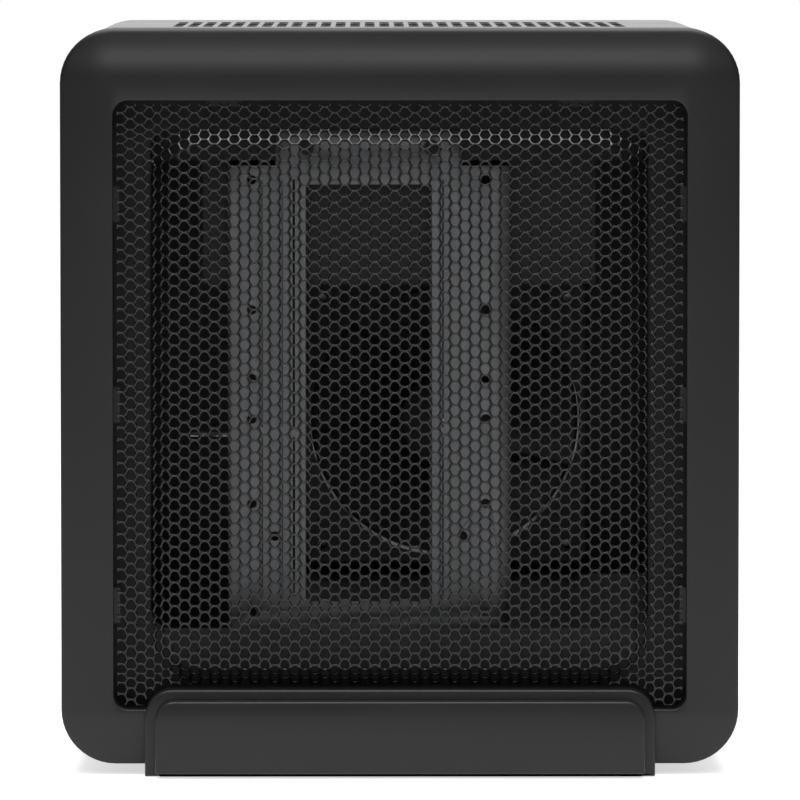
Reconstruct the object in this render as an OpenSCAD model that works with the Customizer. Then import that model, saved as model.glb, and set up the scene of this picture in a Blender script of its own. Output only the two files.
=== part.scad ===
// Mini-ITX cube case: a moulded front frame round an embossed mesh, a C-shaped steel cover with
// a slotted top, a riveted steel chassis with a drive bracket behind the mesh, and a moulded stand.
// Millimetres. X is the width, +Y runs to the rear, +Z is up, and the ground is Z = 0.

/* [Front frame] */
// Width of the front frame
bezel_w = 270; // [250:1:300]
// Height of the front frame
bezel_h = 293; // [285:1:320]
// Depth of the front frame
bezel_d = 34; // [32:0.5:44]
// Corner radius of the front frame
bezel_r = 21.7; // [16:0.1:26]
// Wall of the front frame
bezel_wall = 2.6; // [1.8:0.1:3.4]
// How far the outer edge of the face lies behind its middle
face_drop = 4.6; // [1:0.1:7]
// Height of the front frame above the ground
case_lift = 4.4; // [4.2:0.1:8]

/* [Front opening] */
// Distance from the frame's side edge to the opening
open_side = 21; // [20:0.5:28]
// Distance from the frame's top edge to the opening
open_drop = 28.5; // [24:0.5:34]
// Distance from the frame's bottom edge to the opening
open_rise = 22; // [21.5:0.5:30]
// Corner radius of the opening
open_r = 6; // [3:0.5:10]
// Depth of the wall that lines the opening
lining_d = 15; // [11:0.5:24]
// Thickness of the wall that lines the opening
lining_wall = 2.4; // [1.6:0.1:2.8]

/* [Front mesh] */
// Gap between the mesh and the opening
mesh_gap = 1.4; // [0.6:0.1:2.5]
// How far the border of the mesh lies behind the face
mesh_recess = 5; // [3:0.5:7]
// Thickness of the mesh sheet
mesh_t = 1; // [0.8:0.1:1.6]
// Pitch of the holes
hole_pitch = 11.6; // [11:0.1:16]
// Corner radius of one hexagonal hole
hole_r = 5; // [3:0.1:5.4]
// Border without holes
mesh_margin = 1.6; // [1:0.1:6]
// Width of the flat band at the sides of the embossed field
emboss_side = 14.3; // [10:0.1:24]
// Width of the flat band above the embossed field
emboss_top = 10.7; // [8:0.1:24]
// Width of the flat band below the embossed field
emboss_bottom = 10; // [8:0.1:24]
// Width of the sloping edge of the embossed field
emboss_run = 6.8; // [4:0.1:10]
// Height of the embossed field
emboss_rise = 5.5; // [2:0.1:7]
// Corner radius of the raised flat of the embossed field
emboss_r = 15; // [8:0.5:30]

/* [Stand] */
// Width of the stand
stand_w = 203; // [190:1:206]
// Height of the stand's front above the ground
stand_h = 34.7; // [33:0.1:38]
// Corner radius of the stand's front
stand_r = 11; // [8:0.5:14]
// Thickness of the stand's flange
flange_t = 4; // [2.5:0.1:6]
// Gap between the stand and the front frame
stand_gap = 0.5; // [0.3:0.1:1]
// How far the raised panel stands out from the flange
panel_reach = 8; // [5:0.5:14]
// Distance from the side of the flange to the raised panel
panel_side = 4.3; // [2:0.1:8]
// Distance from the top of the flange to the raised panel
panel_drop = 3.9; // [2:0.1:8]
// Corner radius of the raised panel
panel_r = 7.5; // [4:0.5:12]
// Wall of the hollow panel, of the hook and of the base plate
stand_wall = 2.4; // [1.6:0.1:2.8]
// Width of the two side rails
rail_w = 3.6; // [2.4:0.1:6]
// Height of the base plate's underside above the ground
plate_lift = 2; // [1.6:0.1:2.6]
// Distance from the cover's rear edge to the stand's rear end
stand_inset = 12.5; // [8:0.5:20]
// Distance from the chassis front to the front screws of the stand
stand_screw_front = 12; // [11:0.5:16]
// Distance from the rear panel to the rear screws of the stand
stand_screw_rear = 42; // [36:1:60]
// Distance from a screw to the middle of the pad beyond it, at the front
pad_front = 26; // [16:1:28]
// The same at the rear
pad_rear = 20; // [12:1:22]
// How far the hook reaches behind the mesh
hook_reach = 4; // [2:0.5:6]
// Gap between the hook and the opening's lower edge
hook_gap = 0.3; // [0.2:0.1:0.6]
// Length of a rubber pad
pad_l = 30; // [12:1:40]
// Width of a rubber pad
pad_w = 12; // [8:1:16]
// Width of one window in the base plate
hollow_w = 68; // [40:1:74]
// Length of one window in the base plate
hollow_l = 96; // [40:1:110]
// Distance of a window from the middle of the base plate
hollow_x = 46; // [44:1:50]

/* [Cover] */
// Depth of the case from the face to the rear edge of the cover
case_d = 262; // [255:1:300]
// How far the cover lies inside the front frame's outline
cover_inset = 0.5; // [0.2:0.1:1]
// Sheet thickness of the cover
cover_t = 1; // [0.8:0.1:1.4]
// Width of each folded lower edge of the cover
belly_edge = 30.5; // [28:0.5:31]
// Width of the cover's folded rear edge
rear_lip = 10; // [8:0.5:12]
// Distance from the front frame's back to the top vent
vent_front = 46; // [20:1:70]
// Number of slots across the top vent
vent_columns = 31; // [5:2:37]
// Number of rows of slots in the top vent
vent_rows = 3; // [1:1:4]
// Pitch of the slots across the vent
slot_pitch = 6; // [5:0.1:7]
// Width of one slot
slot_w = 4; // [2:0.1:4.4]
// Length of one slot
slot_l = 36; // [12:1:40]
// Bridge between two rows of slots
slot_bridge = 5; // [3:0.5:8]

/* [Chassis] */
// Sheet thickness of the chassis
sheet = 1; // [0.8:0.1:1.4]
// Clearance between the chassis and the cover
chassis_gap = 0.3; // [0.2:0.1:0.5]
// Distance from the side of the chassis front to the edge of the floor
floor_inset = 21.2; // [20.8:0.1:25]
// Height of the floor's folded side edges
floor_edge = 14; // [10:0.5:20]
// Depth of the folded edges of the front frame and rear panel
fold = 12; // [10:0.5:16]
// Distance from the side of the chassis front to its window
window_side = 33.2; // [30:0.1:44]
// Lower edge of the window above the ground
window_low = 56; // [48:1:58]
// Distance from the top of the chassis front to its window
window_drop = 38.6; // [32:0.1:46]
// Leg width of the two top rails
rail_leg = 16; // [12:0.5:20]
// Distance from the side of the chassis front to a top rail
rail_inset = 33.2; // [29:0.1:37]

/* [Drive bracket] */
// Sheet thickness of the bracket, its pedestal and the cross member
bracket_t = 1.2; // [0.8:0.1:1.6]
// Distance from the face to the bracket
bracket_y = 78; // [74:0.5:79]
// Middle of the bracket from the middle of the case
bracket_x = -12.4; // [-20:0.1:0]
// Width of the bracket
bracket_w = 114.6; // [112:0.1:120]
// Lower edge of the bracket above the ground
bracket_low = 50.8; // [48:0.1:54]
// Height of the sheet that the bracket hangs from
cross_h = 35.8; // [32:0.1:40]
// Width of the bracket's window
gap_w = 51; // [40:1:56]
// Height of the lower bar
lower_bar = 12; // [8:0.5:16]
// Height of the upper bar
upper_bar = 8; // [6:0.5:12]
// Depth of the bracket's folded edges
bracket_fold = 10; // [6:0.5:12]
// Spacing of the drive holes across the bracket
drive_x = 95.25; // [95.25:0.01:95.25]
// Spacing of the drive holes along the drive
drive_z = 44.45; // [44.45:0.01:44.45]
// Radius of the drive screw holes
drive_r = 1.8; // [1.6:0.05:2.2]
// Spacing of the small-drive holes across the bracket
small_x = 76.6; // [76.6:0.01:76.6]
// Width of the pedestal
pedestal_w = 180; // [150:1:190]
// Depth of the pedestal
pedestal_d = 26; // [22:1:28]

/* [Rear] */
// Width of the input and output opening
io_w = 158.75; // [158.75:0.01:158.75]
// Height of the input and output opening
io_h = 44.45; // [44.45:0.01:44.45]
// Middle of the board from the middle of the case
board_x = 20; // [14:0.5:24]
// Height of the standoffs
standoff_h = 6.5; // [6:0.1:8]
// Width across a standoff's corners
standoff_d = 5.8; // [5:0.1:7]
// Radius of the standoff's thread
standoff_r = 1.25; // [1:0.05:1.5]
// Spacing of the two slot covers
slot_step = 20.32; // [20.32:0.01:20.32]
// Height of the slot openings
slot_h = 105; // [100:1:108]
// Depth of the ledge that the slot covers are screwed to
ledge_d = 12; // [10:0.5:14]
// Width of the power supply
psu_w = 150; // [150:1:150]
// Height of the power supply
psu_h = 86; // [86:1:86]
// Distance from the top of the chassis to the power supply
psu_drop = 10.6; // [9.6:0.1:14]
// Length of the power supply's shelf
shelf_l = 60; // [40:1:100]
// Size of the fan
fan_w = 120; // [120:1:120]
// Depth of the fan
fan_d = 25; // [20:1:30]
// Spacing of the fan's screws
fan_pitch = 105; // [105:0.5:105]
// Middle of the fan above the ground
fan_z = 126; // [124:0.5:127]
// Radius of the fan's duct
duct_r = 57.4; // [54:0.1:58]
// Radius of the fan's hub
hub_r = 20; // [16:0.5:24]
// Number of blades
blades = 7; // [5:1:9]
// Pitch angle of the blades
blade_angle = 38; // [25:1:45]

/* [Controls] */
// Distance from the frame's top edge to the power button
power_drop = 53.4; // [51:0.1:57]
// Distance of the controls from the face
control_y = 21; // [19:0.5:22]
// Radius of the power button
power_r = 5.7; // [4:0.1:6]
// Travel of the power button
power_travel = 1; // [0.6:0.1:1.2]
// Radius of the reset button
reset_r = 2.4; // [2:0.1:3]
// Travel of the reset button
reset_travel = 0.8; // [0.5:0.1:1]
// Clearance round a button
button_gap = 0.3; // [0.2:0.05:0.4]
// Radius of the audio sockets
jack_r = 1.8; // [1.75:0.05:1.9]
// Width of the strip that carries the controls
strip_w = 17; // [16.6:0.1:18]
// How far the strip lies behind the side wall's outer face
strip_sink = 0.8; // [0.4:0.1:1.2]
// Gap round the strip
strip_gap = 0.15; // [0.1:0.05:0.3]

/* [Fasteners] */
// Shank radius of the case screws
screw_r = 1.5; // [1.2:0.05:1.6]
// Clearance between a shank and its hole
screw_gap = 0.05; // [0.03:0.01:0.1]
// Radius of a pan head
head_r = 3; // [2.6:0.1:3.4]
// Height of a pan head
head_h = 1.6; // [1.2:0.1:2]
// Head radius of a thumbscrew
thumb_r = 5; // [4:0.1:5.4]
// Head height of a thumbscrew
thumb_h = 7; // [4:0.5:9]

/* [Hidden] */

satin_black = "#2f2f2f";
powder_black = "#1c1c1c";
zinc = "#8d9092";
brass = "#b08d4a";

// Overcut that makes a hole pass clean through
over = 1;
// Thickness of a slice in a hull
thin = 0.01;

// Places along Y
stand_reach = stand_gap + flange_t + panel_reach;
rear_reach = ledge_d - cover_t;
face_y = stand_reach - (stand_reach + case_d + rear_reach) / 2;
frame_y = face_y + bezel_d;
back_y = face_y + case_d;
panel_y = back_y - cover_t - sheet;
inside_l = panel_y - frame_y - sheet;

// Distance over which the face curves back to the outer edge
face_run = bezel_r - 0.5;

// Opening
open_w = bezel_w - 2 * open_side;
open_h = bezel_h - open_drop - open_rise;

// Places along Z
bezel_mid = case_lift + bezel_h / 2;
open_mid = case_lift + bezel_h - open_drop - open_h / 2;
open_low = open_mid - open_h / 2;
cover_low = case_lift + cover_inset;
cover_w = bezel_w - 2 * cover_inset;
cover_h = bezel_h - 2 * cover_inset;
cover_r = bezel_r - cover_inset;
floor_z = cover_low + cover_t;
floor_top = floor_z + sheet;

// Outline of the chassis front and rear sheets
chassis_w = cover_w - 2 * (cover_t + chassis_gap);
chassis_h = cover_h - 2 * (cover_t + chassis_gap);
chassis_r = cover_r - cover_t - chassis_gap;
chassis_top = bezel_mid + chassis_h / 2;
rail_top = chassis_top - sheet;
rail_x = chassis_w / 2 - rail_inset;
floor_w = chassis_w - 2 * floor_inset;
window_w = chassis_w - 2 * window_side;
window_high = chassis_top - window_drop;
belly_w = cover_w - 2 * belly_edge;
psu_z = chassis_top - psu_drop - psu_h;
power_z = case_lift + bezel_h - power_drop;

// Mesh
mesh_w = open_w - 2 * mesh_gap;
mesh_h = open_h - 2 * mesh_gap;
mesh_y = face_y + mesh_recess;
column_step = hole_pitch * sqrt(3) / 2;
field_w = mesh_w + 2 * mesh_gap - 2 * emboss_side;
field_h = open_h - emboss_top - emboss_bottom;
field_mid = open_mid + (emboss_bottom - emboss_top) / 2;
lug_w = 14;
lug_t = 2;
lug_reach = 4.5;

// Cover vent
vent_l = vent_rows * slot_l + (vent_rows - 1) * slot_bridge;
vent_y = frame_y + vent_front;

// Board and slots
board_w = 170;
board_t = 1.6;
board_back = panel_y - 2;
board_z = floor_top + standoff_h;
hole_span_x = 157.48;
hole_edge = 10.16;
hole_shift = 22.86;
hole_span_y = 154.94;
io_z = board_z + board_t - 2.6;
io_x = board_x + board_w / 2 + 0.25 - io_w / 2;
slot_x = board_x - board_w / 2 + 4.5;
slot_z = board_z - 1.4;
ledge_z = slot_z + slot_h;
slot_cut = 14;
slot_cover_w = 18.4;
ledge_w = 2 * slot_step + 3;
ledge_x = slot_x - slot_step / 2;
tab_window = 3;
tab_w = 17;

// Power supply screws, from the lower corner of its face at the smaller X
psu_holes = [[6, 16], [psu_w - 6, 16], [6, psu_h - 6], [psu_w - 30, psu_h - 6]];
psu_hole_r = 1.9;
psu_rim = 6;
psu_side_rim = 10;
psu_land_r = 7;

// Bracket
bracket_front = face_y + bracket_y;
cross_low = rail_top - rail_leg - cross_h;
bracket_top = cross_low - 2;
bracket_h = bracket_top - bracket_low;
bracket_bar = (bracket_w - gap_w) / 2;
drive_rows = [7.6, 7.6 + drive_z, 86.6, 103.1, 86.6 + drive_z, bracket_h - 6];
small_row = 38.7;
lap = 14;
lap_w = 76;
pedestal_y = bracket_front + bracket_fold - pedestal_d + 2;

// Control board, in the side of the front frame
wall_out = bezel_w / 2;
wall_in = wall_out - bezel_wall;
control_line = face_y + control_y;
pcb_t = 1.6;
pcb_x = wall_in - 13.8;
pcb_h = 106;
pcb_d = 18;
pcb_mid = power_z - pcb_h / 2 + 8;
sink = 0.3;
light_z = power_z - 13;
reset_z = light_z - 9;
usb_z = [reset_z - 19, reset_z - 37];
jack_z = [reset_z - 52, reset_z - 64];
usb_l = 13.1;
usb_h = 5.7;
usb_skin = 0.35;
post_z = [(reset_z + usb_z[0]) / 2 + 1.5, jack_z[1] - 8];
post_r = 3;
strip_low = post_z[1] - post_r;
strip_rim = 1.8;
strip_rim_t = 1.2;
strip_land = 0.8;
button_flange = 1.4;
flange_thick = 1;
running_gap = 0.1;
switch_w = 6;
switch_h = 4;
plunger_h = 1.5;
plunger_r = 1.7;

// Fasteners
bezel_post_x = (wall_in + open_w / 2 + lining_wall) / 2;
bezel_post_drop = 40.5;
bezel_post_z = [case_lift + bezel_post_drop, case_lift + bezel_h - bezel_post_drop];
bezel_post_r = 4;
rivet_r = 1.6;
rivet_gap = 0.05;
rivet_head = 3.2;
rivet_cap = 1;
floor_rivet_x = [-90, 0, 90];
floor_rivet_z = floor_top + 6;
rail_rivet_x = rail_x - rail_leg / 2;
rail_rivet_y = [frame_y + sheet + fold / 2, panel_y - fold / 2];
cross_rivet_z = rail_top - 11;
foot_l = 12;
pedestal_rivet_x = pedestal_w / 2 - 12;
shelf_edge = 9;
shelf_rivet_x = 60;
stand_screw_x = 80;
stand_l = back_y - stand_inset - face_y + stand_gap + flange_t;
stand_screw_y = [frame_y + stand_screw_front, panel_y - stand_screw_rear];
pad_y = [stand_screw_y[0] - pad_front, stand_screw_y[1] + pad_rear];
thumb_x = cover_w / 2 - rear_lip / 2 - 0.6;
thumb_z = [70, 235];
thumb_neck = 1;
thumb_bite = 6;
bezel_bite = 8;
fan_bite = 9;
fan_head_r = 3.6;
fan_head_h = 1.2;
fan_screw_r = 2.1;

// Profile drawn in X and Z, extruded towards the rear from y
module slab_y(y, length) {
    translate([0, y + length, 0]) rotate([90, 0, 0]) linear_extrude(length) children();
}

// Profile drawn in Y and Z, extruded towards +X from x
module slab_x(x, length) {
    translate([x, 0, 0]) rotate([90, 0, 90]) linear_extrude(length) children();
}

// Profile drawn in X and Y, extruded upwards from z
module slab_z(z, length) {
    translate([0, 0, z]) linear_extrude(length) children();
}

// Round rod along Y from y, along X from x, or along Z from z
module rod_y(x, z, y, length, r) {
    translate([x, y, z]) rotate([-90, 0, 0]) cylinder(r = r, h = length, $fn = 48);
}

module rod_x(y, z, x, length, r) {
    translate([x, y, z]) rotate([0, 90, 0]) cylinder(r = r, h = length, $fn = 48);
}

module rod_z(x, y, z, length, r) {
    translate([x, y, z]) cylinder(r = r, h = length, $fn = 48);
}

// Rectangle with rounded corners, centred on the origin
module rounded_rect(w, h, r, fn = 64) {
    square([w - 2 * r, h], center = true);
    square([w, h - 2 * r], center = true);
    for (x = [-1, 1], z = [-1, 1])
        translate([x * (w / 2 - r), z * (h / 2 - r)]) circle(r, $fn = fn);
}

// The same rectangle at height z
module rect_at(w, h, r, z, x = 0) {
    translate([x, z]) rounded_rect(w, h, r);
}

// Plain rectangle from its corners
module box_2d(x0, x1, z0, z1) {
    translate([x0, z0]) square([x1 - x0, z1 - z0]);
}

// Outline of the stand's front: flat foot, two rounded upper corners
module arch(w, low, high, r) {
    box_2d(-w / 2, w / 2, low, high - r);
    box_2d(-w / 2 + r, w / 2 - r, low, high);
    for (x = [-1, 1]) translate([x * (w / 2 - r), high - r]) circle(r, $fn = 64);
}

// The part of the same outline above low, where that cuts through its rounded corners
module arch_top(w, low, high, r) {
    intersection() {
        arch(w, high - 2 * r, high, r);
        box_2d(-w, w, low, high);
    }
}

// Section of the front frame's skin: the face curves back from x = 0 to the outer wall at x = reach
module skin_section(reach, drop, wall, depth, steps = 8) {
    inner = reach - wall;
    polygon(concat(
        [for (i = [0:steps]) [reach * i / steps, drop * pow(i / steps, 2)]],
        [[reach, depth], [inner, depth]],
        [for (i = [steps:-1:0]) [inner * i / steps, wall + drop * pow(inner * i / steps / reach, 2)]]
    ));
}

// The section carried round the frame: four turned corners and four straight sides
module frame_skin() {
    corner = bezel_r - face_run;
    for (turn = [0, 1], side = [0, 1])
        mirror([side, 0, 0]) translate([0, face_y, bezel_mid]) mirror([0, 0, turn])
            translate([bezel_w / 2 - bezel_r, 0, bezel_h / 2 - bezel_r]) rotate([90, 0, 0])
                mirror([0, 0, 1]) rotate_extrude(angle = 90, $fn = 96) translate([corner, 0])
                    skin_section(face_run, face_drop, bezel_wall, bezel_d);
    for (side = [0, 1])
        mirror([side, 0, 0])
            slab_z(bezel_mid - bezel_h / 2 + bezel_r, bezel_h - 2 * bezel_r)
                translate([bezel_w / 2 - face_run, face_y])
                    skin_section(face_run, face_drop, bezel_wall, bezel_d);
    for (turn = [0, 1])
        translate([0, 0, bezel_mid]) mirror([0, 0, turn])
            translate([-bezel_w / 2 + bezel_r, face_y, bezel_h / 2 - face_run])
                rotate([90, 0, 90]) linear_extrude(bezel_w - 2 * bezel_r)
                    mirror([1, -1]) skin_section(face_run, face_drop, bezel_wall, bezel_d);
}

// Outline of the control strip, round at both ends; grow widens it on all sides
module strip_outline(grow) {
    half = strip_w / 2;
    for (z = [strip_low + half, power_z])
        translate([control_line, z]) circle(half + grow, $fn = 64);
    translate([control_line - half - grow, strip_low + half])
        square([strip_w + 2 * grow, power_z - strip_low - half]);
}

// Strip set into the side wall, with a rim behind the wall and two posts for the circuit board
module control_strip() {
    depth = bezel_wall + 2 * over;
    start = wall_in - over;
    color(satin_black) difference() {
        union() {
            slab_x(wall_in, bezel_wall - strip_sink) strip_outline(0);
            slab_x(wall_in - strip_rim_t, strip_rim_t) difference() {
                strip_outline(strip_rim);
                strip_outline(-strip_land);
            }
            for (z = post_z)
                rod_x(control_line, z, pcb_x + pcb_t, wall_in + 0.5 - pcb_x - pcb_t, post_r);
        }
        for (z = post_z) rod_x(control_line, z, pcb_x, 8, 1);
        rod_x(control_line, power_z, start, depth, power_r + button_gap);
        rod_x(control_line, reset_z, start, depth, reset_r + button_gap);
        rod_x(control_line, light_z, start, depth, 1.6);
        for (z = jack_z) rod_x(control_line, z, start, depth, 3.3);
        for (z = usb_z)
            slab_x(start, depth)
                translate([control_line, z]) square([usb_h + 0.6, usb_l + 0.6], center = true);
    }
}

// Moulded front frame with a lined opening, mesh lugs, screw posts and a hole for the strip
module front_bezel() {
    color(satin_black) difference() {
        union() {
            frame_skin();
            slab_y(face_y, bezel_wall)
                translate([0, bezel_mid])
                    square([bezel_w - 2 * bezel_r, bezel_h - 2 * face_run], center = true);
            slab_y(face_y + bezel_wall / 2, lining_d - bezel_wall / 2)
                rect_at(open_w + 2 * lining_wall, open_h + 2 * lining_wall,
                    open_r + lining_wall, open_mid);
            for (x = [-1, 1], z = bezel_post_z)
                rod_y(x * bezel_post_x, z, face_y + bezel_wall, bezel_d - bezel_wall, bezel_post_r);
        }
        difference() {
            slab_y(face_y - over, lining_d + 2 * over) rect_at(open_w, open_h, open_r, open_mid);
            mesh_lugs();
        }
        for (x = [-1, 1], z = bezel_post_z)
            rod_y(x * bezel_post_x, z, frame_y - bezel_bite - 2, bezel_bite + 2 + over,
                screw_r + screw_gap);
        slab_x(wall_in - over, bezel_wall + 2 * over) strip_outline(strip_gap);
    }
}

// Lugs behind the mesh: three on each side and two above
module mesh_lugs() {
    back = mesh_y + mesh_t;
    edge = open_w / 2;
    for (x = [-1, 1], z = [open_mid - 80, open_mid, open_mid + 80])
        translate([x * (edge - lug_reach / 2 + over / 2), back + lug_t / 2, z])
            cube([lug_reach + over, lug_t, lug_w], center = true);
    for (x = [-70, 70])
        translate([x, back + lug_t / 2, open_low + open_h - lug_reach / 2 + over / 2])
            cube([lug_w, lug_t, lug_reach + over], center = true);
}

// Wedge-shaped block between the outer fold and the raised flat of the mesh
module emboss_block(front, back) {
    hull() {
        slab_y(front, thin)
            rect_at(field_w - 2 * emboss_run, field_h - 2 * emboss_run, emboss_r, field_mid);
        slab_y(back - thin, thin)
            rect_at(field_w, field_h, emboss_r + emboss_run, field_mid);
    }
}

// True where a hole lies wholly inside the border and clear of the stand's hook
function hole_fits(x, z) =
    abs(x) < mesh_w / 2 - mesh_margin - hole_r
    && abs(z - open_mid) < mesh_h / 2 - mesh_margin - hole_r
    && !(abs(x) < stand_w / 2 + mesh_gap + mesh_margin + hole_r
        && z < stand_h + mesh_gap + mesh_margin + hole_r);

// Perforated sheet with a raised field and a notch round the stand
module front_mesh() {
    columns = ceil(mesh_w / 2 / column_step);
    rows = ceil(mesh_h / 2 / hole_pitch);
    color(powder_black) difference() {
        union() {
            slab_y(mesh_y, mesh_t) rect_at(mesh_w, mesh_h, open_r - mesh_gap, open_mid);
            emboss_block(mesh_y - emboss_rise, mesh_y + thin);
        }
        emboss_block(mesh_y + mesh_t - emboss_rise, mesh_y + mesh_t + thin);
        slab_y(mesh_y - over, mesh_t + 2 * over)
            arch_top(stand_w + 2 * mesh_gap, open_low - over, stand_h + mesh_gap,
                stand_r + mesh_gap);
        slab_y(mesh_y - emboss_rise - over, emboss_rise + mesh_t + 2 * over)
            for (i = [-columns:columns], j = [-rows:rows]) {
                x = i * column_step;
                z = open_mid + (j + abs(i % 2) / 2) * hole_pitch;
                if (hole_fits(x, z)) translate([x, z]) circle(hole_r, $fn = 6);
            }
    }
}

// Elongated hexagon along Y, the shape of one vent slot
module vent_slot() {
    point = slot_w / 2;
    polygon([[0, 0], [point, point], [point, slot_l - point], [0, slot_l],
        [-point, slot_l - point], [-point, point]]);
}

// Folded cover: top, two sides and two lower edges, with a lip round the rear
module outer_shell() {
    length = back_y - frame_y;
    color(powder_black) difference() {
        slab_y(frame_y, length) rect_at(cover_w, cover_h, cover_r, bezel_mid);
        slab_y(frame_y - over, length + over - cover_t)
            rect_at(cover_w - 2 * cover_t, cover_h - 2 * cover_t, cover_r - cover_t, bezel_mid);
        slab_y(frame_y, length + over)
            rect_at(cover_w - 2 * rear_lip, cover_h - 2 * rear_lip, cover_r - rear_lip,
                bezel_mid);
        slab_y(frame_y - over, length + 2 * over)
            box_2d(-belly_w / 2, belly_w / 2, cover_low - over, cover_low + rear_lip + over);
        slab_z(bezel_mid, cover_h)
            for (column = [0:vent_columns - 1], row = [0:vent_rows - 1])
                translate([(column - (vent_columns - 1) / 2) * slot_pitch,
                    vent_y + row * (slot_l + slot_bridge)]) vent_slot();
        for (x = [-1, 1], z = thumb_z)
            rod_y(x * thumb_x, z, back_y - cover_t - over, cover_t + 2 * over,
                screw_r + screw_gap);
    }
}

// Stand: raised panel on a flange, a hook over the opening's edge, a base plate and two rails
module stand() {
    flange_y = face_y - stand_gap - flange_t;
    panel_w = stand_w - 2 * panel_side;
    panel_top = stand_h - panel_drop;
    hook_l = stand_gap + mesh_recess + mesh_t + hook_reach;
    under_l = frame_y - flange_y;
    color(satin_black) difference() {
        union() {
            slab_y(flange_y, flange_t) arch(stand_w, sink, stand_h, stand_r);
            slab_y(face_y - stand_reach, panel_reach + thin)
                arch(panel_w, plate_lift, panel_top, panel_r);
            slab_y(flange_y + flange_t - thin, hook_l) difference() {
                arch_top(stand_w, open_low + hook_gap, stand_h, stand_r);
                arch_top(stand_w - 2 * stand_wall, open_low, stand_h - stand_wall,
                    stand_r - stand_wall);
            }
            slab_z(plate_lift, case_lift - plate_lift)
                translate([-stand_w / 2, flange_y]) square([stand_w, stand_l]);
            for (x = [-1, 1])
                slab_y(flange_y, under_l + thin)
                    translate([x * (stand_w - rail_w) / 2, 0])
                        box_2d(-rail_w / 2, rail_w / 2, sink, case_lift);
            for (x = [-1, 1])
                slab_y(frame_y, stand_l - under_l)
                    translate([x * (stand_w - rail_w) / 2, 0])
                        box_2d(-rail_w / 2, rail_w / 2, sink, floor_z);
            for (x = [-1, 1], y = stand_screw_y)
                rod_z(x * stand_screw_x, y, plate_lift, floor_z - plate_lift, head_r + 3);
        }
        slab_y(face_y - stand_reach + stand_wall, panel_reach + flange_t - 2 * stand_wall)
            arch(panel_w - 2 * stand_wall, plate_lift - over, panel_top - stand_wall,
                panel_r - stand_wall);
        slab_z(plate_lift - over, floor_z)
            for (x = [-1, 1])
                translate([x * hollow_x, (stand_screw_y[0] + stand_screw_y[1]) / 2])
                    rounded_rect(hollow_w, hollow_l, 10);
        for (x = [-1, 1], y = stand_screw_y) {
            rod_z(x * stand_screw_x, y, 0, floor_z + over, screw_r + screw_gap);
            rod_z(x * stand_screw_x, y, plate_lift - over, head_h + over, head_r + 0.3);
        }
    }
}

// Four rubber pads under the base plate
module stand_pads() {
    color("#151515")
        for (x = [-1, 1], y = pad_y)
            translate([x * stand_screw_x, y, plate_lift / 2])
                cube([pad_l, pad_w, plate_lift], center = true);
}

// Four screws that hold the stand to the chassis floor
module stand_screws() {
    color(zinc)
        for (x = [-1, 1], y = stand_screw_y) {
            rod_z(x * stand_screw_x, y, plate_lift, head_h, head_r);
            rod_z(x * stand_screw_x, y, plate_lift + thin, floor_top + 1.5 - plate_lift, screw_r);
        }
}

// Rivet with its shank starting at the head side; direction is 1 or -1 along the axis
module rivet_y(x, z, y, grip, direction) {
    start = direction > 0 ? y : y - grip;
    head = direction > 0 ? y - rivet_cap : y;
    rod_y(x, z, start, grip, rivet_r);
    rod_y(x, z, head, rivet_cap, rivet_head);
}

module rivet_hole_y(x, z, y, grip) {
    rod_y(x, z, y - over, grip + 2 * over, rivet_r + rivet_gap);
}

// Floor of the chassis, folded up on all four edges
module chassis_floor() {
    color(powder_black) difference() {
        union() {
            slab_z(floor_z, sheet)
                translate([-floor_w / 2, frame_y + sheet]) square([floor_w, inside_l]);
            for (x = [-floor_w / 2, floor_w / 2 - sheet])
                slab_x(x, sheet)
                    box_2d(frame_y + sheet + fold, panel_y - fold, floor_z, floor_z + floor_edge);
            for (y = [frame_y + sheet, panel_y - sheet])
                slab_y(y, sheet)
                    box_2d(-floor_w / 2 + fold, floor_w / 2 - fold, floor_z, floor_top + fold);
        }
        slab_y(panel_y - sheet - over, sheet + 2 * over)
            box_2d(io_x - io_w / 2, io_x + io_w / 2, io_z, io_z + io_h);
        slab_y(panel_y - sheet - over, sheet + 2 * over)
            box_2d(ledge_x - ledge_w / 2, ledge_x + ledge_w / 2, floor_top, io_z + io_h);
        for (x = floor_rivet_x) rivet_hole_y(x, floor_rivet_z, frame_y, 2 * sheet);
        rivet_hole_y(-floor_w / 2 + fold + 7, floor_rivet_z, panel_y - sheet, 2 * sheet);
        for (x = [-1, 1], y = stand_screw_y)
            rod_z(x * stand_screw_x, y, floor_z - over, sheet + 2 * over, screw_r + screw_gap);
        for (x = [-1, 1], y = pedestal_foot_y())
            rod_z(bracket_x + x * pedestal_rivet_x, y, floor_z - over, sheet + 2 * over,
                rivet_r + rivet_gap);
    }
}

function pedestal_foot_y() = [pedestal_y - foot_l / 2, pedestal_y + pedestal_d - foot_l / 2 - bracket_t];

// Flat sheet with side and top edges folded back, the form of the chassis front and rear
module folded_sheet(y, direction) {
    start = direction > 0 ? y : y + sheet - fold;
    slab_y(y, sheet) rect_at(chassis_w, chassis_h, chassis_r, bezel_mid);
    slab_y(start, fold) difference() {
        rect_at(chassis_w, chassis_h, chassis_r, bezel_mid);
        rect_at(chassis_w - 2 * sheet, chassis_h - 2 * sheet, chassis_r - sheet, bezel_mid);
        box_2d(-chassis_w, chassis_w, 0, bezel_mid - chassis_h / 2 + 2 * chassis_r);
    }
}

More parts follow.
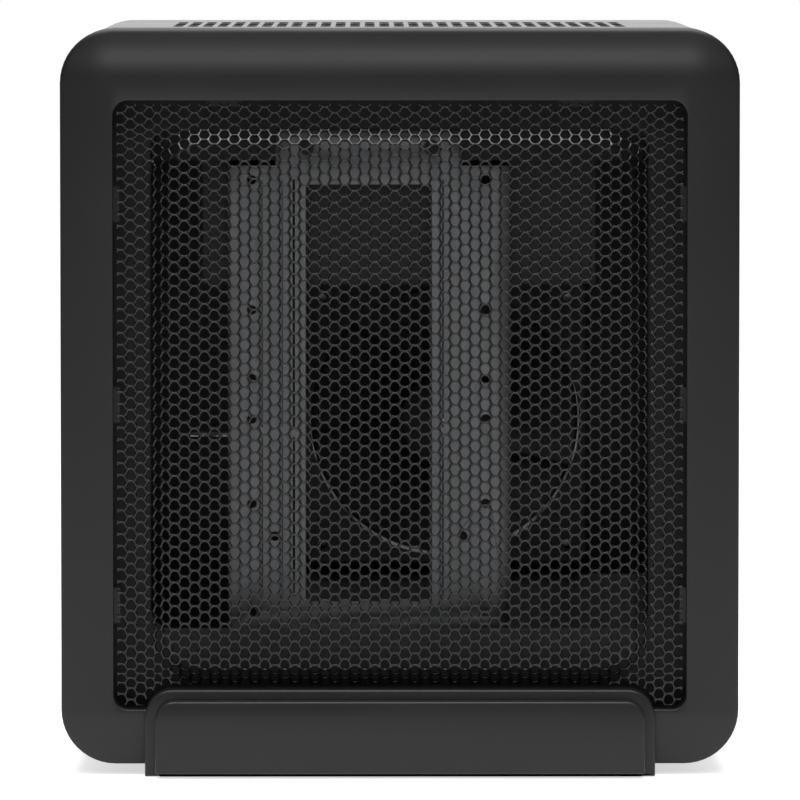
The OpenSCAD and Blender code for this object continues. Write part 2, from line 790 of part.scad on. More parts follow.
// Chassis front: a wide window behind the mesh and a folded edge
module front_frame() {
    window_mid = (window_low + window_high) / 2;
    color(powder_black) difference() {
        folded_sheet(frame_y, 1);
        slab_y(frame_y - over, sheet + 2 * over)
            rect_at(window_w, window_high - window_low, 8, window_mid);
        for (x = floor_rivet_x) rivet_hole_y(x, floor_rivet_z, frame_y, 2 * sheet);
        for (x = [-1, 1], z = bezel_post_z)
            rod_y(x * bezel_post_x, z, frame_y - over, sheet + 2 * over, screw_r + screw_gap);
        for (x = [-1, 1])
            rod_z(x * rail_rivet_x, rail_rivet_y[0], rail_top - over, sheet + 2 * over,
                rivet_r + rivet_gap);
    }
}

// Rings of slots with four spokes, the grille in front of the fan
module fan_grille() {
    ring = 8;
    web = 2.2;
    slab_y(panel_y - over, sheet + 2 * over) translate([board_x, fan_z]) difference() {
        for (i = [1:5]) difference() {
            circle(15 + i * ring, $fn = 96);
            circle(15 + (i - 1) * ring + web, $fn = 96);
        }
        for (angle = [45, 135]) rotate(angle) square([2 * fan_w, 5], center = true);
    }
}

// Chassis rear: fan grille, openings for the board's sockets and the slots, and an opening for the
// power supply with four lands that carry its screws
module rear_panel() {
    outside = panel_y + sheet;
    color(powder_black) difference() {
        union() {
            difference() {
                folded_sheet(panel_y, -1);
                slab_y(panel_y - over, sheet + 2 * over)
                    box_2d(-psu_w / 2 + psu_side_rim, psu_w / 2 - psu_side_rim,
                        psu_z + psu_rim, psu_z + psu_h - psu_rim);
            }
            for (p = psu_holes)
                rod_y(p[0] - psu_w / 2, psu_z + p[1], panel_y, sheet, psu_land_r);
            slab_y(outside - thin, ledge_d + thin)
                box_2d(ledge_x - ledge_w / 2, ledge_x + ledge_w / 2, ledge_z - sheet, ledge_z);
        }
        for (p = psu_holes)
            rod_y(p[0] - psu_w / 2, psu_z + p[1], panel_y - over, sheet + 2 * over, psu_hole_r);
        slab_y(panel_y - over, sheet + 2 * over) {
            box_2d(io_x - io_w / 2, io_x + io_w / 2, io_z, io_z + io_h);
            for (x = [slot_x, slot_x - slot_step])
                box_2d(x - slot_cut / 2, x + slot_cut / 2, slot_z, ledge_z - sheet - 1);
            for (x = [slot_x, slot_x - slot_step])
                box_2d(x - tab_w / 2 - 0.5, x + tab_w / 2 + 0.5, ledge_z, ledge_z + tab_window);
        }
        for (x = [slot_x, slot_x - slot_step])
            rod_z(x, slot_screw_y(), ledge_z - sheet - over, sheet + 2 * over,
                screw_r + screw_gap);
        fan_grille();
        for (x = [-1, 1], z = [-1, 1])
            rod_y(board_x + x * fan_pitch / 2, fan_z + z * fan_pitch / 2, panel_y - over,
                sheet + 2 * over, 2.3);
        for (x = [-1, 1], z = thumb_z)
            rod_y(x * thumb_x, z, panel_y - over, sheet + 2 * over, screw_r + screw_gap);
        for (x = [-1, 1])
            rod_z(x * rail_rivet_x, rail_rivet_y[1], rail_top - over, sheet + 2 * over,
                rivet_r + rivet_gap);
        for (x = [-1, 1])
            rivet_hole_y(x * shelf_rivet_x, psu_z - shelf_edge / 2, panel_y, sheet);
        rivet_hole_y(-floor_w / 2 + fold + 7, floor_rivet_z, panel_y - sheet, 2 * sheet);
    }
}

function slot_screw_y() = panel_y + sheet + ledge_d / 2;

// L-shaped rail under the top of the chassis
module top_rail(side) {
    color(powder_black) difference() {
        union() {
            slab_y(frame_y + sheet, inside_l)
                box_2d(min(side * rail_x, side * (rail_x - rail_leg)),
                    max(side * rail_x, side * (rail_x - rail_leg)), rail_top - sheet, rail_top);
            slab_y(frame_y + sheet, inside_l)
                box_2d(min(side * rail_x, side * (rail_x - sheet)),
                    max(side * rail_x, side * (rail_x - sheet)), rail_top - rail_leg, rail_top);
        }
        for (y = rail_rivet_y)
            rod_z(side * rail_rivet_x, y, rail_top - sheet - over, sheet + 2 * over,
                rivet_r + rivet_gap);
        rod_x(bracket_front + bracket_t + fold / 2, cross_rivet_z,
            side * (rail_x - sheet / 2) - sheet / 2 - over, sheet + 2 * over,
            rivet_r + rivet_gap);
    }
}

module left_top_rail() {
    top_rail(-1);
}

module right_top_rail() {
    top_rail(1);
}

// Sheet across the two rails that the drive bracket hangs from
module top_cross_member() {
    y = bracket_front + bracket_t;
    reach = rail_x - sheet;
    color(powder_black) difference() {
        union() {
            slab_y(y, bracket_t) box_2d(-reach, reach, cross_low, rail_top - rail_leg);
            for (x = [-1, 1])
                slab_x(x * (reach - bracket_t / 2) - bracket_t / 2, bracket_t)
                    box_2d(y, y + fold, cross_low, rail_top - sheet - 2);
        }
        for (x = [-1, 1])
            rod_y(bracket_x + x * lap_w / 3, bracket_top + lap / 2, y - over,
                bracket_t + 2 * over, screw_r + screw_gap);
        for (x = [-1, 1])
            rod_x(y + fold / 2, cross_rivet_z, x * reach - bracket_t - over,
                2 * bracket_t + 2 * over, rivet_r + rivet_gap);
    }
}

// Bridge on the floor that the drive bracket stands on
module bracket_pedestal() {
    top = bracket_low;
    low = bracket_x - pedestal_w / 2;
    high = bracket_x + pedestal_w / 2;
    color(powder_black) difference() {
        union() {
            slab_y(pedestal_y, pedestal_d) box_2d(low, high, top - bracket_t, top);
            for (y = [pedestal_y, pedestal_y + pedestal_d - bracket_t])
                slab_y(y, bracket_t) box_2d(low, high, floor_top, top);
            for (y = pedestal_foot_y())
                slab_y(y - foot_l / 2, foot_l)
                    box_2d(low, high, floor_top, floor_top + bracket_t);
        }
        for (x = [-1, 1], y = pedestal_foot_y())
            rod_z(bracket_x + x * pedestal_rivet_x, y, floor_top - over, bracket_t + 2 * over,
                rivet_r + rivet_gap);
        for (x = [-1, 1])
            rod_z(bracket_x + x * bracket_w / 3, bracket_front + bracket_fold / 2 + 1,
                top - bracket_t - over, bracket_t + 2 * over, screw_r + screw_gap);
    }
}

// Folded bracket: two upright bars with drive holes, joined above and below
module drive_bracket() {
    half = bracket_w / 2;
    gap_low = bracket_low + lower_bar;
    gap_high = bracket_top - upper_bar;
    color(zinc) difference() {
        union() {
            slab_y(bracket_front, bracket_t) translate([bracket_x, 0]) {
                difference() {
                    box_2d(-half, half, bracket_low, bracket_top);
                    box_2d(-gap_w / 2, gap_w / 2, gap_low, gap_high);
                }
                box_2d(-lap_w / 2, lap_w / 2, bracket_top - 1, bracket_top + lap);
            }
            slab_y(bracket_front, bracket_fold) translate([bracket_x, 0]) {
                for (x = [-half, half - bracket_t])
                    box_2d(x, x + bracket_t, bracket_low, bracket_top);
                for (x = [-gap_w / 2 - bracket_t, gap_w / 2])
                    box_2d(x, x + bracket_t, gap_low + 4, gap_high - 4);
                box_2d(-half, half, bracket_low, bracket_low + bracket_t);
            }
        }
        for (x = [-1, 1], z = drive_rows)
            rod_y(bracket_x + x * drive_x / 2, bracket_low + z, bracket_front - over,
                bracket_t + 2 * over, drive_r);
        for (x = [-1, 1])
            rod_y(bracket_x + x * small_x / 2, bracket_low + small_row, bracket_front - over,
                bracket_t + 2 * over, drive_r);
        for (x = [-1, 1])
            rod_y(bracket_x + x * lap_w / 3, bracket_top + lap / 2, bracket_front - over,
                bracket_t + 2 * over, screw_r + screw_gap);
        for (x = [-1, 1])
            rod_z(bracket_x + x * bracket_w / 3, bracket_front + bracket_fold / 2 + 1,
                bracket_low - over, bracket_t + 2 * over, screw_r + screw_gap);
    }
}

// Two screws above and two below that hold the drive bracket
module bracket_screws() {
    color(zinc) {
        for (x = [-1, 1]) {
            rod_y(bracket_x + x * lap_w / 3, bracket_top + lap / 2, bracket_front - head_h,
                head_h, head_r);
            rod_y(bracket_x + x * lap_w / 3, bracket_top + lap / 2, bracket_front - thin,
                2 * bracket_t + 2, screw_r);
        }
        for (x = [-1, 1]) {
            rod_z(bracket_x + x * bracket_w / 3, bracket_front + bracket_fold / 2 + 1,
                bracket_low + bracket_t, head_h, head_r);
            rod_z(bracket_x + x * bracket_w / 3, bracket_front + bracket_fold / 2 + 1,
                bracket_low - bracket_t - 2, 2 * bracket_t + 2 + thin, screw_r);
        }
    }
}

// Shelf under the power supply, riveted to the rear panel
module psu_shelf() {
    half = psu_w / 2 - 4;
    color(powder_black) difference() {
        union() {
            slab_z(psu_z - sheet, sheet)
                translate([-half, panel_y - shelf_l]) square([2 * half, shelf_l]);
            slab_y(panel_y - sheet, sheet) box_2d(-half, half, psu_z - shelf_edge, psu_z);
            slab_y(panel_y - shelf_l, sheet) box_2d(-half, half, psu_z - shelf_edge, psu_z);
        }
        for (x = [-1, 1])
            rivet_hole_y(x * shelf_rivet_x, psu_z - shelf_edge / 2, panel_y - sheet, sheet);
    }
}

// Places of the board's four holes; the one beside the slots lies further forward
function board_holes() = [
    [board_x + hole_span_x / 2, board_back - hole_edge],
    [board_x - hole_span_x / 2, board_back - hole_edge - hole_shift],
    [board_x - hole_span_x / 2, board_back - hole_edge - hole_span_y],
    [board_x + hole_span_x / 2, board_back - hole_edge - hole_span_y]];

// Four hexagonal standoffs on the chassis floor
module motherboard_standoffs() {
    color(brass)
        for (p = board_holes())
            difference() {
                translate([p[0], p[1], floor_top])
                    cylinder(d = standoff_d, h = standoff_h, $fn = 6);
                rod_z(p[0], p[1], floor_top + 1.5, standoff_h, standoff_r);
            }
}

// Slot cover: an upright strip inside the panel with a tab that lies on the ledge
module slot_cover(x) {
    color(zinc) difference() {
        union() {
            slab_y(panel_y - sheet, sheet)
                box_2d(x - slot_cover_w / 2, x + slot_cover_w / 2, slot_z - 1, ledge_z + sheet);
            slab_y(panel_y - sheet, ledge_d + 2 * sheet - 0.5)
                box_2d(x - tab_w / 2, x + tab_w / 2, ledge_z, ledge_z + sheet);
        }
        rod_z(x, slot_screw_y(), ledge_z - over, sheet + 2 * over, screw_r + screw_gap);
    }
}

module slot_cover_inner() {
    slot_cover(slot_x);
}

module slot_cover_outer() {
    slot_cover(slot_x - slot_step);
}

// Two screws that hold the slot covers
module slot_screws() {
    color(zinc)
        for (x = [slot_x, slot_x - slot_step]) {
            rod_z(x, slot_screw_y(), ledge_z + sheet, head_h, head_r);
            rod_z(x, slot_screw_y(), ledge_z - 4, 4 + sheet + thin, screw_r);
        }
}

// Four thumbscrews that hold the cover to the rear panel
module cover_thumbscrews() {
    color(powder_black)
        for (x = [-1, 1], z = thumb_z) {
            rod_y(x * thumb_x, z, back_y, thumb_neck, thumb_r - 0.8);
            rod_y(x * thumb_x, z, back_y + thumb_neck - thin, thumb_h - thumb_neck, thumb_r);
            rod_y(x * thumb_x, z, back_y - thumb_bite, thumb_bite + thin, screw_r);
        }
}

// Fan frame: two square flanges, the duct, the motor mount and its four struts
module rear_fan_frame() {
    front = panel_y - fan_d;
    mount_t = 4;
    strut_w = 5;
    color("#1f2022") difference() {
        union() {
            for (y = [front, panel_y - 4])
                slab_y(y, 4) rect_at(fan_w, fan_w, 4, fan_z, board_x);
            slab_y(front, fan_d) intersection() {
                translate([board_x, fan_z]) circle(duct_r + 2, $fn = 96);
                translate([board_x, fan_z]) square(fan_w - 0.4, center = true);
            }
        }
        difference() {
            slab_y(front - over, fan_d + 2 * over)
                translate([board_x, fan_z]) circle(duct_r, $fn = 96);
            slab_y(panel_y - mount_t, mount_t) translate([board_x, fan_z]) {
                circle(hub_r, $fn = 64);
                for (angle = [20, 110]) rotate(angle)
                    square([2 * duct_r + 1, strut_w], center = true);
            }
            rod_y(board_x, fan_z, panel_y - 14, 14, 4);
        }
        for (x = [-1, 1], z = [-1, 1])
            rod_y(board_x + x * fan_pitch / 2, fan_z + z * fan_pitch / 2, front - over,
                fan_d + 2 * over, 2.15);
        rod_y(board_x, fan_z, panel_y - 15, 13, 1.5 + running_gap / 2);
    }
}

// Fan rotor: a hub cup and flat pitched blades
module rear_fan_rotor() {
    front = panel_y - fan_d + 1;
    hub_l = fan_d - 1 - 4 - 1;
    tip_r = duct_r - 1.1;
    color("#26282a") difference() {
        union() {
            rod_y(board_x, fan_z, front, hub_l, hub_r - 0.5);
            intersection() {
                rod_y(board_x, fan_z, front + 0.5, hub_l - 1, tip_r);
                translate([board_x, front + hub_l / 2, fan_z])
                    for (i = [0:blades - 1]) rotate([0, i * 360 / blades, 0])
                        translate([tip_r / 2 + 4, 0, 0]) rotate([90 - blade_angle, 0, 0])
                            cube([tip_r, 1.8, 34], center = true);
            }
        }
        rod_y(board_x, fan_z, front + 2, hub_l, hub_r - 2);
        rod_y(board_x, fan_z, front - over, 2 + 2 * over, 1.5);
    }
    color("#26282a") difference() {
        rod_y(board_x, fan_z, front + 2 - thin, 3, 4);
        rod_y(board_x, fan_z, front + 1, 6, 1.5);
    }
}

// Steel shaft pressed into the rotor, running in the frame's bore
module rear_fan_shaft() {
    front = panel_y - fan_d + 1;
    color(zinc) rod_y(board_x, fan_z, front, fan_d - 1 - 4, 1.5);
}

// Four self-tapping screws through the rear panel into the fan frame
module rear_fan_screws() {
    color(zinc)
        for (x = [-1, 1], z = [-1, 1]) {
            rod_y(board_x + x * fan_pitch / 2, fan_z + z * fan_pitch / 2, panel_y + sheet,
                fan_head_h, fan_head_r);
            rod_y(board_x + x * fan_pitch / 2, fan_z + z * fan_pitch / 2, panel_y - fan_bite,
                fan_bite + sheet + thin, fan_screw_r);
        }
}

// Pop rivets that join the chassis sheets
module chassis_rivets() {
    color(zinc) {
        for (x = floor_rivet_x) rivet_y(x, floor_rivet_z, frame_y, 2 * sheet, 1);
        rivet_y(-floor_w / 2 + fold + 7, floor_rivet_z, panel_y + sheet, 2 * sheet, -1);
        for (x = [-1, 1])
            rivet_y(x * shelf_rivet_x, psu_z - shelf_edge / 2, panel_y + sheet, 2 * sheet, -1);
        for (x = [-1, 1], y = rail_rivet_y) {
            rod_z(x * rail_rivet_x, y, rail_top - sheet, 2 * sheet, rivet_r);
            rod_z(x * rail_rivet_x, y, rail_top - sheet - rivet_cap, rivet_cap, rivet_head);
        }
        for (x = [-1, 1]) {
            start = x > 0 ? rail_x - sheet - bracket_t : -rail_x;
            head = x > 0 ? rail_x : -rail_x - rivet_cap;
            rod_x(bracket_front + bracket_t + fold / 2, cross_rivet_z, start,
                sheet + bracket_t, rivet_r);
            rod_x(bracket_front + bracket_t + fold / 2, cross_rivet_z, head, rivet_cap,
                rivet_head);
        }
        for (x = [-1, 1], y = pedestal_foot_y()) {
            rod_z(bracket_x + x * pedestal_rivet_x, y, floor_z, sheet + bracket_t, rivet_r);
            rod_z(bracket_x + x * pedestal_rivet_x, y, floor_top + bracket_t, rivet_cap,
                rivet_head);
        }
    }
}

// Four screws through the chassis front into the posts of the front frame
module bezel_screws() {
    color(zinc)
        for (x = [-1, 1], z = bezel_post_z) {
            rod_y(x * bezel_post_x, z, frame_y + sheet, head_h, head_r);
            rod_y(x * bezel_post_x, z, frame_y - bezel_bite, bezel_bite + sheet + thin, screw_r);
        }
}

// Circuit board behind the buttons, ports and sockets
module control_board() {
    color("#20462f") difference() {
        slab_x(pcb_x, pcb_t)
            translate([control_line, pcb_mid]) square([pcb_d, pcb_h], center = true);
        for (z = post_z) rod_x(control_line, z, pcb_x - over, pcb_t + 2 * over, 1.1);
    }
}

// Two small screws that hold the circuit board to the posts
module board_screws() {
    color(zinc)
        for (z = post_z) {
            rod_x(control_line, z, pcb_x - 1.2, 1.2, 1.9);
            rod_x(control_line, z, pcb_x - thin, pcb_t + 6, 0.95);
        }
}

// Push button: cap, stop flange behind the wall and stem towards its switch
module button(z, r, travel) {
    stop_x = wall_in - running_gap;
    switch_top = pcb_x + pcb_t + switch_h + plunger_h;
    stem_end = switch_top + travel + running_gap;
    rod_x(control_line, z, stop_x - thin, wall_out - sink - stop_x + thin, r);
    rod_x(control_line, z, stop_x - flange_thick, flange_thick, r + button_flange);
    rod_x(control_line, z, stem_end, stop_x - flange_thick - stem_end + thin, 1.5);
}

module power_button() {
    color(satin_black) button(power_z, power_r, power_travel);
}

module reset_button() {
    color(satin_black) button(reset_z, reset_r, reset_travel);
}

// Switch with a square body and a round plunger
module switch_on_board(z) {
    base = pcb_x + pcb_t;
    color("#3a3a3a") {
        slab_x(base, switch_h) translate([control_line, z]) square(switch_w, center = true);
        rod_x(control_line, z, base + switch_h - thin, plunger_h + thin, plunger_r);
    }
}

module power_switch() {
    switch_on_board(power_z);
}

module reset_switch() {
    switch_on_board(reset_z);
}

// Metal shells of the two ports, open towards the side
module usb_ports() {
    base = pcb_x + pcb_t;
    length = wall_out - sink - base;
    color(zinc)
        for (z = usb_z) difference() {
            slab_x(base, length)
                translate([control_line, z]) square([usb_h, usb_l], center = true);
            slab_x(base + 2, length)
                translate([control_line, z])
                    square([usb_h - 2 * usb_skin, usb_l - 2 * usb_skin], center = true);
        }
}

// Contact tongues inside the ports
module usb_tongues() {
    base = pcb_x + pcb_t + 2;
    color("#1d3f8a")
        for (z = usb_z)
            slab_x(base, wall_out - 1.5 - base)
                translate([control_line - 1.2, z]) square([1.8, usb_l - 2.6], center = true);
}

// Two audio sockets
module audio_jacks() {
    base = pcb_x + pcb_t;
    color("#2a2a2a")
        for (z = jack_z) difference() {
            union() {
                slab_x(base, wall_in - 0.5 - base)
                    translate([control_line, z]) square([8, 8], center = true);
                rod_x(control_line, z, wall_in - 0.5 - thin, wall_out - sink - wall_in + 0.5 + thin, 3);
            }
            rod_x(control_line, z, base + 1, wall_out - base, jack_r);
        }
}

// Clear light pipe between the circuit board and the side wall
module status_light() {
    base = pcb_x + pcb_t;
    color("#d8dde0") rod_x(control_line, light_z, base, wall_out - sink - base, 1.5);
}

front_bezel();
front_mesh();
outer_shell();
stand();
stand_pads();
stand_screws();
chassis_floor();
front_frame();
rear_panel();
left_top_rail();
right_top_rail();
top_cross_member();
bracket_pedestal();
drive_bracket();
bracket_screws();
psu_shelf();
motherboard_standoffs();
slot_cover_inner();
slot_cover_outer();
slot_screws();
cover_thumbscrews();
rear_fan_frame();
rear_fan_rotor();
rear_fan_shaft();
rear_fan_screws();
chassis_rivets();
bezel_screws();
control_strip();
control_board();
board_screws();
power_button();
reset_button();
power_switch();
reset_switch();
usb_ports();
usb_tongues();
audio_jacks();
status_light();
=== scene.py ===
"""Mini-ITX cube case, dressed piece by piece round its construction model.

Metres, with the front towards -Y. Sizes inside the sections are in millimetres.
"""
import math
import bmesh
import bpy
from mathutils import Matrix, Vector


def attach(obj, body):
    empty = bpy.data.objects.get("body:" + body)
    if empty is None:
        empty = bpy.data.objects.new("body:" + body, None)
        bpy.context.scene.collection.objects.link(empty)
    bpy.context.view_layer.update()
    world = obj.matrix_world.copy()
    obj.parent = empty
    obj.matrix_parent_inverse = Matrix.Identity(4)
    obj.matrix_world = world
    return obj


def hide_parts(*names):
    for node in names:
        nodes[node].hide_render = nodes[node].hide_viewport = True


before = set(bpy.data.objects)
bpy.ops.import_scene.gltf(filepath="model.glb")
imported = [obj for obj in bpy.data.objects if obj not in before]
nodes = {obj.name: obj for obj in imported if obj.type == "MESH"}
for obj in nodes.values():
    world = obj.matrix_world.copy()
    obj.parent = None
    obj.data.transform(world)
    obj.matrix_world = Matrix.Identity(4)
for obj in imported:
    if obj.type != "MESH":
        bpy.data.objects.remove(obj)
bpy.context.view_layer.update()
mm = 0.001

# --- Front frame ------------------------------------------------------------------------------
# One injection moulding in black ABS: a curved face, a deep outer wall and a thin wall that lines
# the opening. Its surface comes from a spark-eroded mould, so it is satin, with a fine even grain.
# The grain of real ABS, 0.2 mm, is drawn at 0.7 mm to show.


def linear(hex_code):
    """An sRGB colour such as 1c1c1c as linear RGBA."""
    parts = [int(hex_code[i:i + 2], 16) / 255 for i in (0, 2, 4)]
    return [c / 12.92 if c <= 0.04045 else ((c + 0.055) / 1.055) ** 2.4 for c in parts] + [1.0]


def add(tree, kind, links=None, **settings):
    """Adds one node to a tree, with settings for its properties and links to its inputs."""
    node = tree.nodes.new(kind)
    for name, value in settings.items():
        if hasattr(node, name):
            setattr(node, name, value)
        else:
            node.inputs[name.replace("_", " ")].default_value = value
    for name, socket in (links or {}).items():
        tree.links.new(socket, node.inputs[name])
    return node


def finish_of(name, colour, roughness, grain_mm, bump_mm, wear=0.0, metallic=0.0,
              specular=0.5, mottle=0.12, mottle_mm=60.0, stretch=(1, 1, 1)):
    """A surface with fine grain from its making and a slow change of shade from handling."""
    material = bpy.data.materials.new(name)
    material.use_nodes = True
    tree = material.node_tree
    shader = tree.nodes["Principled BSDF"]
    shader.inputs["Metallic"].default_value = metallic
    if metallic < 0.5:
        shader.inputs["IOR"].default_value = 1.5
        shader.inputs["Specular IOR Level"].default_value = specular
    place = add(tree, "ShaderNodeTexCoord").outputs["Object"]
    drawn = add(tree, "ShaderNodeMapping", {"Vector": place}, Scale=stretch).outputs[0]
    slow = add(tree, "ShaderNodeTexNoise", {"Vector": drawn},
               Scale=1 / (mottle_mm * mm), Detail=4.0)
    fine = add(tree, "ShaderNodeTexNoise", {"Vector": drawn},
               Scale=1 / (grain_mm * mm), Detail=2.0)
    shade = add(tree, "ShaderNodeMapRange", {"Value": slow.outputs["Fac"]},
                From_Min=0.3, From_Max=0.7, To_Min=1 - mottle, To_Max=1 + mottle)
    base = add(tree, "ShaderNodeMix", data_type="RGBA", blend_type="MULTIPLY")
    base.inputs["Factor"].default_value = 1.0
    base.inputs[6].default_value = linear(colour)
    tree.links.new(shade.outputs[0], base.inputs[7])
    tree.links.new(base.outputs[2], shader.inputs["Base Color"])
    gloss = add(tree, "ShaderNodeMapRange", {"Value": slow.outputs["Fac"]},
                From_Min=0.3, From_Max=0.7, To_Min=roughness - wear, To_Max=roughness + wear)
    tree.links.new(gloss.outputs[0], shader.inputs["Roughness"])
    relief = add(tree, "ShaderNodeBump", {"Height": fine.outputs["Fac"]},
                 Strength=1.0, Distance=bump_mm * mm)
    tree.links.new(relief.outputs[0], shader.inputs["Normal"])
    return material


# Satin ABS: near black, roughness about 0.3, with less gloss than a lacquer.
satin_plastic = finish_of("Satin_moulded_ABS", "191919", 0.31, 0.7, 0.006, wear=0.02,
                          specular=0.25, mottle=0.05)


def ring(w, h, r, mid, y, turns=12):
    """Points of a rounded rectangle in millimetres, round its four corners from the lower left."""
    points = []
    for corner, (sx, sz) in enumerate(((-1, -1), (1, -1), (1, 1), (-1, 1))):
        for i in range(turns + 1):
            angle = math.pi * (1 + corner / 2 + i / turns / 2)
            points.append((sx * (w / 2 - r) + r * math.cos(angle), y,
                           mid + sz * (h / 2 - r) + r * math.sin(angle)))
    return points


def loft(bm, rings, closed=False):
    """Skins rings of equal length with quads; closed joins the last ring to the first."""
    made = [[bm.verts.new([c * mm for c in p]) for p in points] for points in rings]
    pairs = list(zip(made, made[1:])) + ([(made[-1], made[0])] if closed else [])
    for one, two in pairs:
        for i in range(len(one)):
            j = (i + 1) % len(one)
            bm.faces.new((one[i], one[j], two[j], two[i]))
    return made


def rod(bm, start, end, radius, sides=24):
    """A closed round rod between two points, in millimetres."""
    a, b = Vector(start), Vector(end)
    turn = (b - a).to_track_quat("Z", "Y")
    rings = [[p + turn @ Vector((radius * math.cos(t), radius * math.sin(t), 0))
              for t in (2 * math.pi * i / sides for i in range(sides))] for p in (a, b)]
    low, high = loft(bm, rings)
    bm.faces.new(reversed(low))
    bm.faces.new(high)


def block(bm, low, high):
    """A closed box between two corners, in millimetres."""
    corners = [bm.verts.new([(low, high)[(k >> a) & 1][a] * mm for a in range(3)])
               for k in range(8)]
    for face in ((0, 2, 3, 1), (4, 5, 7, 6), (0, 1, 5, 4), (2, 6, 7, 3), (0, 4, 6, 2),
                 (1, 3, 7, 5)):
        bm.faces.new([corners[k] for k in face])


def piece(name, bm, material, sharp=32, flip=True):
    """Turns a bmesh into a named object with one material and edges sharp past an angle."""
    bmesh.ops.remove_doubles(bm, verts=bm.verts, dist=0.004 * mm)
    if flip:
        bmesh.ops.recalc_face_normals(bm, faces=bm.faces)
    mesh = bpy.data.meshes.new(name)
    bm.to_mesh(mesh)
    bm.free()
    mesh.polygons.foreach_set("use_smooth", [True] * len(mesh.polygons))
    mesh.set_sharp_from_angle(angle=math.radians(sharp))
    mesh.materials.append(material)
    made = bpy.data.objects.new(name, mesh)
    bpy.context.scene.collection.objects.link(made)
    return made


def applied(made):
    """Bakes an object's modifiers into a plain mesh."""
    graph = bpy.context.evaluated_depsgraph_get()
    mesh = bpy.data.meshes.new_from_object(made.evaluated_get(graph))
    made.modifiers.clear()
    made.data = mesh
    return made


def take(made, body, slot, *stands_for):
    """The piece rides on its body and stands for construction nodes; slot is not used."""
    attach(made, body)
    if stands_for:
        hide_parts(*stands_for)


face_y, frame_y = -130.25, -96.25
bezel_w, bezel_h, bezel_mid, bezel_r = 270, 293, 150.9, 21.7
face_run, face_drop, wall = 21.2, 4.6, 2.6
open_w, open_h, open_mid, open_r = 228, 242.5, 147.65, 6
lining_back, lining_wall = face_y + 15, 2.4
edge_r, lip_r = 0.5, 0.45


def bezel_at(inset, y):
    """The frame's outline, drawn in by an inset."""
    return ring(bezel_w - 2 * inset, bezel_h - 2 * inset, max(bezel_r - inset, 0.6), bezel_mid, y)


def opening_at(grow, y):
    """The opening's outline, let out by an amount."""
    return ring(open_w + 2 * grow, open_h + 2 * grow, open_r + grow, open_mid, y)


def face_at(inset):
    """How far back the curved face lies at an inset from the outline."""
    return face_y + face_drop * (1 - inset / face_run) ** 2


rings = [bezel_at(0, frame_y), bezel_at(0, face_at(0) + edge_r)]
for i in range(1, 5):
    turn = math.radians(16 * i)
    rings.append(bezel_at(edge_r * (1 - math.cos(turn)),
                          face_at(0) + edge_r * (1.06 - math.sin(turn))))
for inset in (0.9, 2, 4, 6, 8, 10, 12, 14, 16, 18, 20):
    rings.append(bezel_at(inset, face_at(inset)))
for i in range(5):
    turn = math.radians(22.5 * i)
    rings.append(opening_at(lip_r * (1 - math.sin(turn)), face_y + lip_r * (1 - math.cos(turn))))
rings += [opening_at(0, lining_back - 0.3), opening_at(0.3, lining_back),
          opening_at(lining_wall, lining_back), opening_at(lining_wall, face_y + wall)]
for inset in (17, 12, 7, wall):
    rings.append(bezel_at(inset, wall + face_at(inset)))
rings.append(bezel_at(wall, frame_y))

bm = bmesh.new()
loft(bm, rings, closed=True)
bmesh.ops.recalc_face_normals(bm, faces=bm.faces)
shell = piece("front_frame_moulding", bm, satin_plastic)

bm = bmesh.new()
strip_y, strip_half, strip_low, strip_high, strip_gap = face_y + 21, 8.5, 147, 244, 0.15
hole = []
for i in range(48):
    angle = 2 * math.pi * i / 48
    mid = strip_high if math.sin(angle) > 0 else strip_low + strip_half
    hole.append((strip_y + (strip_half + strip_gap) * math.cos(angle),
                 mid + (strip_half + strip_gap) * math.sin(angle)))
sides = loft(bm, [[(x, y, z) for y, z in hole] for x in (131, 136)])
bm.faces.new(sides[0])
bm.faces.new(sides[1])
cutter = piece("strip_hole", bm, satin_plastic)
cut = shell.modifiers.new("strip", "BOOLEAN")
cut.operation, cut.object, cut.solver = "DIFFERENCE", cutter, "EXACT"
applied(shell)
bpy.data.objects.remove(cutter)

bm = bmesh.new()
bm.from_mesh(shell.data)
bpy.data.objects.remove(shell)
post_x = (bezel_w / 2 - wall + open_w / 2 + lining_wall) / 2
for x in (-post_x, post_x):
    for z in (44.9, 256.9):
        rod(bm, (x, face_y + wall - 0.3, z), (x, frame_y, z), 4)
# Lugs inside the opening hold the mesh from behind.
lug_y, lug_t, lug_half, lug_in, lug_out = face_y + 6, 2, 7, 111.5, 114.3
for x in (-1, 1):
    for z in (open_mid - 80, open_mid, open_mid + 80):
        block(bm, (min(x * lug_in, x * lug_out), lug_y, z - lug_half),
              (max(x * lug_in, x * lug_out), lug_y + lug_t, z + lug_half))
for x in (-70, 70):
    block(bm, (x - lug_half, lug_y, 266.4), (x + lug_half, lug_y + lug_t, 269.2))
moulding = piece("front_frame_moulding", bm, satin_plastic, flip=False)
take(moulding, "case", "satin_plastic", "front_bezel")

# --- Front mesh -------------------------------------------------------------------------------
# One steel sheet, punched with slightly oval holes on a hexagonal grid, its middle pressed
# forward, cut to size through the holes and powder coated black. The coat rounds each hole's edge.
mesh_paint = finish_of("Semi_gloss_powder_coat", "060606", 0.18, 1.4, 0.004, wear=0.02,
                       specular=0.32, mottle=0.08)
column_step, row_step, row_phase = 3.897, 4.632, 0.77
hole_x, hole_z, rim, rim_depth, sheet_t = 1.76, 2.02, 0.18, 0.2, 1.0
border_y, rise, run = -125.25, 5.5, 6.8
slope_l = math.hypot(rise, run)
sheet_w, sheet_h, sheet_r = 225.2, 239.7, 4.6
field_w, field_h, field_mid, field_r = 199.4, 221.8, 147.3, 21.8


